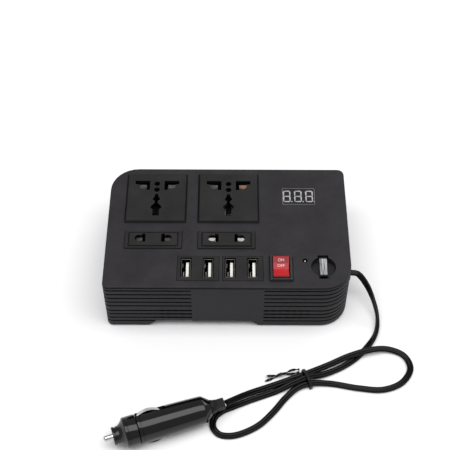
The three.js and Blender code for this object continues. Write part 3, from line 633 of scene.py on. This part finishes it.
def softened(name, body, slot, material, edge, segments=2, sharp=28, cuts=()):
    """The node's own shape with its faces merged and its hard edges rounded by edge millimetres."""
    bm = bmesh.new()
    bm.from_mesh(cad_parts[name].data)
    bmesh.ops.remove_doubles(bm, verts=bm.verts, dist=2e-6)
    bmesh.ops.dissolve_limit(bm, angle_limit=math.radians(0.8), use_dissolve_boundaries=False,
                             verts=bm.verts, edges=bm.edges, delimit={"NORMAL"})
    hard = [e for e in bm.edges if e.is_manifold and e.calc_face_angle(0) > math.radians(sharp)]
    if edge:
        bmesh.ops.bevel(bm, geom=hard, offset=edge * MM, offset_type="OFFSET", affect="EDGES",
                        segments=segments, profile=0.5, material=-1, clamp_overlap=False)
    piece = placed(name + "_finished", bm, material)
    for cutter in cuts:
        cut_by(piece, cutter)
    even = piece.modifiers.new("even_shading", "WEIGHTED_NORMAL")
    even.keep_sharp = True
    even.weight = 100
    return standing_in(piece, body, slot, name)


def spun(outline, axis, steps):
    """A closed solid of revolution from points in metres about an axis through the origin."""
    bm = bmesh.new()
    points = [bm.verts.new(point) for point in outline]
    edges = [bm.edges.new(pair) for pair in zip(points, points[1:])]
    bmesh.ops.spin(bm, geom=points + edges, cent=(0, 0, 0), axis=axis, dvec=(0, 0, 0),
                   angle=2 * math.pi, steps=steps, use_merge=True)
    bmesh.ops.remove_doubles(bm, verts=bm.verts, dist=1e-7)
    bmesh.ops.recalc_face_normals(bm, faces=bm.faces)
    return bm


def turned(name, outline, steps, material, cuts=()):
    """An outline of (radius, distance) pairs in millimetres spun about the plug's axis."""
    bm = spun([(s * MM, 0, r * MM) for r, s in outline], (1, 0, 0), steps)
    piece = placed(name, bm, material, 25)
    for cutter in cuts:
        cut_by(piece, cutter)
    turn = Matrix.Rotation(math.radians(PLUG["turn"]), 4, "Z")
    piece.data.transform(Matrix.Translation(Vector(PLUG["tip"]) * MM) @ turn)
    return piece


def spun_up(name, outline, steps, material, centre):
    """An outline of (radius, height) pairs in millimetres spun about an upright axis."""
    bm = spun([(r * MM, 0, h * MM) for r, h in outline], (0, 0, 1), steps)
    bmesh.ops.translate(bm, vec=(centre.x, centre.y, 0), verts=bm.verts)
    return placed(name, bm, material, 30)


def add_block(bm, centre, size, turn=None):
    made = bmesh.ops.create_cube(bm, size=1)["verts"]
    bmesh.ops.scale(bm, vec=size, verts=made)
    if turn:
        bmesh.ops.rotate(bm, cent=(0, 0, 0), matrix=turn, verts=made)
    bmesh.ops.translate(bm, vec=centre, verts=made)
    return made


def curve_bmesh(curve):
    """The mesh of a curve or a text, as a bmesh."""
    holder = bpy.data.objects.new(curve.name + "_curve", curve)
    bpy.context.scene.collection.objects.link(holder)
    bpy.context.view_layer.update()
    evaluated = holder.evaluated_get(bpy.context.evaluated_depsgraph_get())
    mesh = bpy.data.meshes.new_from_object(evaluated)
    bpy.data.objects.remove(holder)
    bm = bmesh.new()
    bm.from_mesh(mesh)
    return bm


def cut_by(piece, cutter):
    """Takes the cutter's space out of the piece, and throws the cutter away."""
    modifier = piece.modifiers.new("cut", "BOOLEAN")
    modifier.operation = "DIFFERENCE"
    modifier.solver = "EXACT"
    modifier.object = cutter
    bpy.context.view_layer.update()
    evaluated = piece.evaluated_get(bpy.context.evaluated_depsgraph_get())
    cut = bpy.data.meshes.new_from_object(evaluated)
    piece.modifiers.clear()
    for face in cut.polygons:
        face.use_smooth = True
    cut.set_sharp_from_angle(angle=math.radians(25))
    piece.data = cut
    bpy.data.objects.remove(cutter)


# ---- cord -------------------------------------------------------------------------------------
def smooth_route(points, steps):
    """Centripetal Catmull-Rom points through a route, with any fourth value carried along."""
    knots = [Vector(p[:3]) for p in points]
    rolls = [p[3] if len(p) > 3 else 0 for p in points]
    before = [2 * knots[0] - knots[1]] + knots[:-1]
    after = knots[1:] + [2 * knots[-1] - knots[-2]]
    line = []
    for i in range(len(knots) - 1):
        p0, p1, p2, p3 = before[i], knots[i], knots[i + 1], after[i + 1]
        d0, d1, d2 = (math.sqrt((b - a).length) for a, b in ((p0, p1), (p1, p2), (p2, p3)))
        t1 = ((p1 - p0) / d0 - (p2 - p0) / (d0 + d1) + (p2 - p1) / d1) * d1
        t2 = ((p2 - p1) / d1 - (p3 - p1) / (d1 + d2) + (p3 - p2) / d2) * d1
        for k in range(steps):
            t = k / steps
            a, b = 2 * t**3 - 3 * t**2 + 1, t**3 - 2 * t**2 + t
            c, d = -2 * t**3 + 3 * t**2, t**3 - t**2
            roll = rolls[i] + (rolls[i + 1] - rolls[i]) * t
            line.append((a * p1 + b * t1 + c * p2 + d * t2, roll))
    line.append((knots[-1], rolls[-1]))
    return line


def swept(name, line, outline, material):
    """A section carried along a line, lying level apart from its roll, with closed ends."""
    section = bpy.data.curves.new(name + "_section", "CURVE")
    rim = section.splines.new("POLY")
    rim.points.add(len(outline) - 1)
    for point, (x, y) in zip(rim.points, outline):
        point.co = (x * MM, y * MM, 0, 1)
    rim.use_cyclic_u = True
    profile = bpy.data.objects.new(name + "_section", section)
    bpy.context.scene.collection.objects.link(profile)
    curve = bpy.data.curves.new(name, "CURVE")
    curve.dimensions = "3D"
    curve.twist_mode = "Z_UP"
    curve.bevel_mode = "OBJECT"
    curve.bevel_object = profile
    curve.use_fill_caps = True
    spline = curve.splines.new("POLY")
    spline.points.add(len(line) - 1)
    for point, (place, roll) in zip(spline.points, line):
        point.co = (*(place * MM), 1)
        point.tilt = math.radians(roll)
    bm = curve_bmesh(curve)
    bpy.data.objects.remove(profile)
    bmesh.ops.remove_doubles(bm, verts=bm.verts, dist=1e-6)
    bmesh.ops.recalc_face_normals(bm, faces=bm.faces)
    return placed(name, bm, material, 50)


def twin_section():
    """Two round cores side by side with a shallow valley between them."""
    radius = CORD["height"] / 2
    centre = CORD["width"] / 2 - radius
    reach = math.acos(-centre / radius * CORD["valley"])
    half = CORD["facets"]
    angles = [reach * (k / half - 1) for k in range(2 * half + 1)]
    right = [(centre + radius * math.cos(a), radius * math.sin(a)) for a in angles]
    return right + [(-x, -y) for x, y in right]


def make_cord(finish):
    """The flat twin cord, and the line that it follows."""
    line = smooth_route(ROUTE, CORD["steps"])
    cord = swept("flat_cord", line, twin_section(), finish["vinyl"])
    standing_in(cord, MAIN, "cord_vinyl", "power_cord")
    return cord, [list(place * MM) for place, _ in line]


def make_tie(finish):
    """The twist tie's band round the cord, and its two twisted tails."""
    band = softened("cord_tie", MAIN, "tie_black", finish["tie"], 0.2)
    edge, core = TIE["half_wide"], TIE["half_core"]
    flat, thick = TIE["half_flat"], TIE["half_thick"]
    strip = [(edge, -flat), (edge, flat), (core, thick), (-core, thick), (-edge, flat),
             (-edge, -flat), (-core, -thick), (core, -thick)]
    tails = []
    for i, points in enumerate(TAILS):
        twisted = [(*point, TIE["twist"] * k) for k, point in enumerate(points)]
        tail = swept(f"tie_end_{i + 1}", smooth_route(twisted, 10), strip, finish["tie"])
        tails.append(standing_in(tail, MAIN, "tie_black", f"tie_tail_{i + 1}"))
    return [band, *tails]


# ---- plug -------------------------------------------------------------------------------------
def leaf_pocket(turn):
    """The space that a leaf spring stands in, turned about the plug's axis."""
    bm = bmesh.new()
    add_block(bm, (POCKET["along"], 0, POCKET["out"]), POCKET["size"])
    bmesh.ops.rotate(bm, cent=(0, 0, 0), matrix=Matrix.Rotation(-turn, 3, "X"), verts=bm.verts)
    return placed("leaf_pocket", bm)


def make_plug(finish):
    spun_pieces = [make_pin(finish), make_cap(finish), make_barrel(finish)]
    leaves = [softened("plug_spring_" + side, side + "_leaf", "plug_metal", finish["plate"], 0.12)
              for side in ("upper", "lower")]
    boot = softened("plug_boot", MAIN, "cord_vinyl", finish["boot"], 0.5, 3)
    return [*spun_pieces, boot, *leaves]


def make_pin(finish):
    """The sprung contact pin, with the collar that keeps it in the cap."""
    pin = turned("plug_pin_turned", [
        (0, 0), (0.7, 0.05), (1.25, 0.3), (1.65, 0.75), (1.85, 1.4), (1.85, 8.8), (2.7, 8.9),
        (2.7, 10.4), (1.7, 10.5), (1.7, 13.4), (0, 13.4)], 40, finish["plate"])
    return standing_in(pin, "plug_tip", "plug_metal", "plug_pin")


def make_cap(finish):
    """The screw cap: a nose ring, a flared skirt and a grip band."""
    cap = turned("plug_cap_turned", [
        (2.15, 5.95), (2.3, 5.8), (5.3, 5.8), (5.62, 5.95), (5.7, 6.25), (5.7, 7.0),
        (5.6, 7.25), (5.3, 7.5), (5.2, 7.9), (5.25, 8.7), (5.6, 9.7), (6.4, 10.9), (7.5, 12),
        (8.6, 12.75), (9.35, 13.2), (9.58, 13.6), (9.6, 14.2), (9.6, 15.0), (9.45, 15.15),
        (9.45, 15.45), (9.6, 15.6), (9.6, 20.6), (9.5, 21.05), (9.2, 21.3), (5.6, 21.3),
        (5.6, 8.4), (2.15, 8.4), (2.15, 5.95)], 72, finish["gloss"])
    return standing_in(cap, "cap", "plug_gloss", "plug_cap")


def make_barrel(finish):
    """The tapering barrel, bored for the glass fuse and cut for its two leaf springs."""
    lean = math.radians(PLUG["lean"])
    pockets = [leaf_pocket(turn) for turn in (math.pi / 2 - lean, math.pi * 1.5 - lean)]
    barrel = turned("plug_barrel_turned", [
        (4.3, 14.6), (5.3, 14.6), (5.3, 21.6), (9.1, 21.6), (9.5, 21.75), (9.65, 22.2),
        (9.65, 23.4), (9.5, 23.5), (9.5, 23.8), (9.65, 23.9), (9.65, 27), (9.55, 35),
        (9.35, 44), (9.05, 53), (8.75, 60.5), (8.62, 63.4), (8.4, 64.2), (5.7, 67.6),
        (5.4, 68), (0, 68), (0, 48), (4.3, 48), (4.3, 14.6)], 72, finish["gloss"], pockets)
    return standing_in(barrel, MAIN, "plug_gloss", "plug_barrel")


# ---- case, sockets and the rest ---------------------------------------------------------------
def make_case(finish):
    softened("base_shell", MAIN, "case_plastic", finish["case"], 0.16, 2)
    softened("top_cover", MAIN, "case_plastic", finish["case"], 0.15, 2)


def make_sockets(finish):
    for hand in ("left", "right"):
        softened("universal_socket_" + hand, MAIN, "socket_plastic", finish["socket"], 0.18)
        softened("two_pin_socket_" + hand, MAIN, "socket_plastic", finish["socket"], 0.12)
        ports = (1, 2) if hand == "left" else (3, 4)
        softened("usb_frame_" + hand, MAIN, "socket_plastic", finish["socket"], 0.1,
                 cuts=[usb_clearance(i) for i in ports])


def usb_clearance(index):
    """The wider opening that a USB port's shell stands in, mostly behind it."""
    low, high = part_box(f"usb_shell_{index}")
    bm = bmesh.new()
    add_block(bm, ((low.x + high.x) / 2, (low.y + high.y) / 2 + 0.0003, high.z),
              (high.x - low.x + 0.0011, high.y - low.y + 0.0012, 0.009))
    return placed("usb_clearance", bm)


def make_usb(finish):
    for i in range(1, 5):
        softened(f"usb_shell_{i}", MAIN, "usb_steel", finish["folded"], 0.08)
        softened(f"usb_tongue_{i}", MAIN, "tongue_white", finish["tongue"], 0.15)
        make_usb_contacts(i, finish)


def make_usb_contacts(index, finish):
    """Four bright metal strips on the tongue's open face, and the shell's two pressed spring tabs.
    """
    low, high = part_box(f"usb_tongue_{index}")
    shell_low, shell_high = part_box(f"usb_shell_{index}")
    bm = bmesh.new()
    for k in range(4):
        y = low.y + (high.y - low.y) * (0.17 + 0.22 * k)
        add_block(bm, (low.x - 0.0001, y, (low.z + high.z) / 2 + 0.0005), (0.0002, 0.001, 0.009))
    strips = placed(f"usb_contact_strips_{index}", bm, finish["steel"])
    riding(strips, MAIN)
    bm = bmesh.new()
    add_block(bm, (shell_low.x + 0.0011, shell_low.y + 0.003, shell_high.z - 0.0033),
              (0.0005, 0.0034, 0.005), Matrix.Rotation(math.radians(14), 3, "Y"))
    add_block(bm, (shell_low.x + 0.0009, shell_high.y - 0.0038, shell_high.z - 0.0046),
              (0.0005, 0.003, 0.005))
    tabs = placed(f"usb_spring_tabs_{index}", bm, finish["tab"])
    riding(tabs, MAIN)


def make_switch(finish):
    softened("switch_housing", MAIN, "switch_black", finish["bezel"], 0.25)
    softened("switch_rocker", "rocker", "rocker_red", finish["rocker"], 0.45, 3)
    for printed_word in SWITCH_WORDS:
        make_switch_word(*printed_word, finish["letter"])


def make_switch_word(word, along, height, slope, wide, tall, material):
    """A printed word lying on the rocker's rear facet."""
    curve = bpy.data.curves.new("word_" + word.lower(), "FONT")
    curve.body = word
    curve.align_x = "CENTER"
    curve.align_y = "CENTER"
    curve.extrude = 0.02
    bm = curve_bmesh(curve)
    size_x = max(v.co.x for v in bm.verts) - min(v.co.x for v in bm.verts)
    size_y = max(v.co.y for v in bm.verts) - min(v.co.y for v in bm.verts)
    bmesh.ops.scale(bm, vec=(wide * MM / size_x, tall * MM / size_y, MM), verts=bm.verts)
    facet = leaning((0, along * MM, height * MM), slope)
    tilt = leaning(Vector(ROCKER["pivot"]) * MM, ROCKER["tilt"])
    bmesh.ops.transform(bm, matrix=tilt @ facet, verts=bm.verts, space=Matrix())
    riding(placed("word_" + word.lower(), bm, material), "rocker")


def leaning(place, degrees):
    return Matrix.Translation(place) @ Matrix.Rotation(math.radians(degrees), 4, "X")


def make_display(finish):
    """A smoked window with a thin light line painted round it as the highlight on its bevelled
    edge, and three unlit eights with their points.
    """
    low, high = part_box("display_module")
    softened("display_module", MAIN, "display_black", finish["window"], 0.15)
    centre = (low + high) / 2
    top = high.z + 0.00002
    wide, tall = DISPLAY["highlight_w"] * MM, DISPLAY["highlight_d"] * MM
    line, proud = DISPLAY["line"] * MM, DISPLAY["proud"] * MM
    bm = bmesh.new()
    # painted highlight: light lines where the display's bevelled edge catches the light
    for side in (-1, 1):
        add_block(bm, (centre.x, centre.y + side * tall / 2, top), (wide, line, proud))
        add_block(bm, (centre.x + side * wide / 2, centre.y, top), (line, tall, proud))
    riding(placed("display_edge_highlight", bm, finish["edge_highlight"]), MAIN)
    for i, across in enumerate(DISPLAY["digits"]):
        bm = bmesh.new()
        add_digit(bm)
        place = Matrix.Translation((centre.x + across * MM, centre.y, top))
        bmesh.ops.transform(bm, matrix=place @ Matrix.Scale(MM, 4), verts=bm.verts, space=Matrix())
        riding(placed(f"display_digit_{i + 1}", bm, finish["segment"]), MAIN)


def add_digit(bm):
    """Seven bars with pointed ends, and the point at the lower right, in millimetres."""
    bar, gap = DISPLAY["bar"], DISPLAY["gap"]
    wide, tall = DISPLAY["digit_w"] - bar, DISPLAY["digit_d"] - bar
    upright = Matrix.Rotation(math.pi / 2, 3, "Z")
    for y in (-tall / 2, 0, tall / 2):
        add_bar(bm, (0, y, 0), wide - gap, bar, None)
    for x in (-wide / 2, wide / 2):
        for y in (-tall / 4, tall / 4):
            add_bar(bm, (x, y, 0), tall / 2 - gap, bar, upright)
    point = bar * 0.9
    add_block(bm, (wide / 2 + bar * 1.35, -tall / 2, 0), (point, point, DISPLAY["proud"]))


def add_bar(bm, centre, length, width, turn):
    """A flat bar with a point at each end."""
    made = bmesh.ops.create_circle(bm, cap_ends=True, segments=6, radius=0.5)["verts"]
    bmesh.ops.scale(bm, vec=(1, width / math.sqrt(0.75), 1), verts=made)
    for vert in made:
        vert.co.x += math.copysign((length - 1) / 2, vert.co.x)
    if turn:
        bmesh.ops.rotate(bm, cent=(0, 0, 0), matrix=turn, verts=made)
    bmesh.ops.translate(bm, vec=centre, verts=made)
    faces = list({face for vert in made for face in vert.link_faces})
    grown = bmesh.ops.extrude_face_region(bm, geom=faces)["geom"]
    top = [part for part in grown if isinstance(part, bmesh.types.BMVert)]
    bmesh.ops.translate(bm, vec=(0, 0, DISPLAY["proud"] / 2), verts=top)


def make_lamp(finish):
    """A near-black ring of painted shade in the lamp's hole, round a small dome painted white as
    the lamp's glint.
    """
    low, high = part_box("indicator_led")
    centre = (low + high) / 2
    sleeve = spun_up("lamp_hole_shade_ring", [(0.75, 38), (1.5, 38), (1.5, 44.3), (1.4, 44.5), (0.95, 44.5),
                                     (0.75, 44.1), (0.75, 38)], 28, finish["lamp_hole_shade"], centre)
    dome = spun_up("lamp_glint_dome", [(0, 38.2), (0.46, 38.2), (0.46, 44.4), (0.36, 44.8), (0, 45)], 24,
                   finish["lens"], centre - Vector((0, 0.00025, 0)))
    standing_in(sleeve, MAIN, "switch_black", "indicator_led")
    riding(dome, MAIN)


def make_screws(finish):
    """The four cross-headed case screws, whose heads look down."""
    for i in range(1, 5):
        low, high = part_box(f"case_screw_{i}")
        centre = (low + high) / 2
        slots = []
        long, wide, deep = CROSS["long"], CROSS["wide"], CROSS["deep"]
        for size in ((long, wide, deep), (wide, long, deep)):
            bm = bmesh.new()
            add_block(bm, (centre.x, centre.y, low.z), size)
            slots.append(placed("cross_slot", bm))
        softened(f"case_screw_{i}", MAIN, "contact_steel", finish["steel"], 0.1, cuts=slots)


def paint_nodes(finish):
    """The CAD nodes that keep their own shape get their finishes."""
    nodes_by_finish = {
        # painted shade: these contacts get the darker copy of the contact metal
        "contact_shade": ["live_contact_left", "neutral_contact_left", "earth_contact_left",
                 "neutral_contact_right", "two_pin_contact_left_1", "two_pin_contact_left_2"],
        "steel": ["earth_contact_right", "two_pin_contact_right_1", "two_pin_contact_right_2",
                  "fuse_element"],
        "brass": ["live_contact_right", "fuse_clip_1", "fuse_clip_2"],
        "board": ["usb_board", "main_board"],
        "ferrite": ["transformer"],
        "fins": ["heat_sink"],
        "sleeve": ["capacitor_1", "capacitor_2"],
        "dark": ["fan_frame", "fan_rotor"],
        # painted shade: the fuse holder darker than the case
        "recess": ["fuse_holder"],
        "fuse": ["fuse_body"],
        "glass": ["plug_fuse"],
        "vinyl": ["cord_grommet"],
    }
    for look, names in nodes_by_finish.items():
        for name in names:
            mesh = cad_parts[name].data
            mesh.materials.clear()
            mesh.materials.append(finish[look])


# ---- the whole inverter -----------------------------------------------------------------------
make_viewer()
FINISH = make_finishes()
make_studio()
cord, cord_line = make_cord(FINISH)
tie_pieces = make_tie(FINISH)
plug_pieces = make_plug(FINISH)
make_case(FINISH)
make_sockets(FINISH)
make_usb(FINISH)
make_switch(FINISH)
make_display(FINISH)
make_lamp(FINISH)
make_screws(FINISH)
paint_nodes(FINISH)
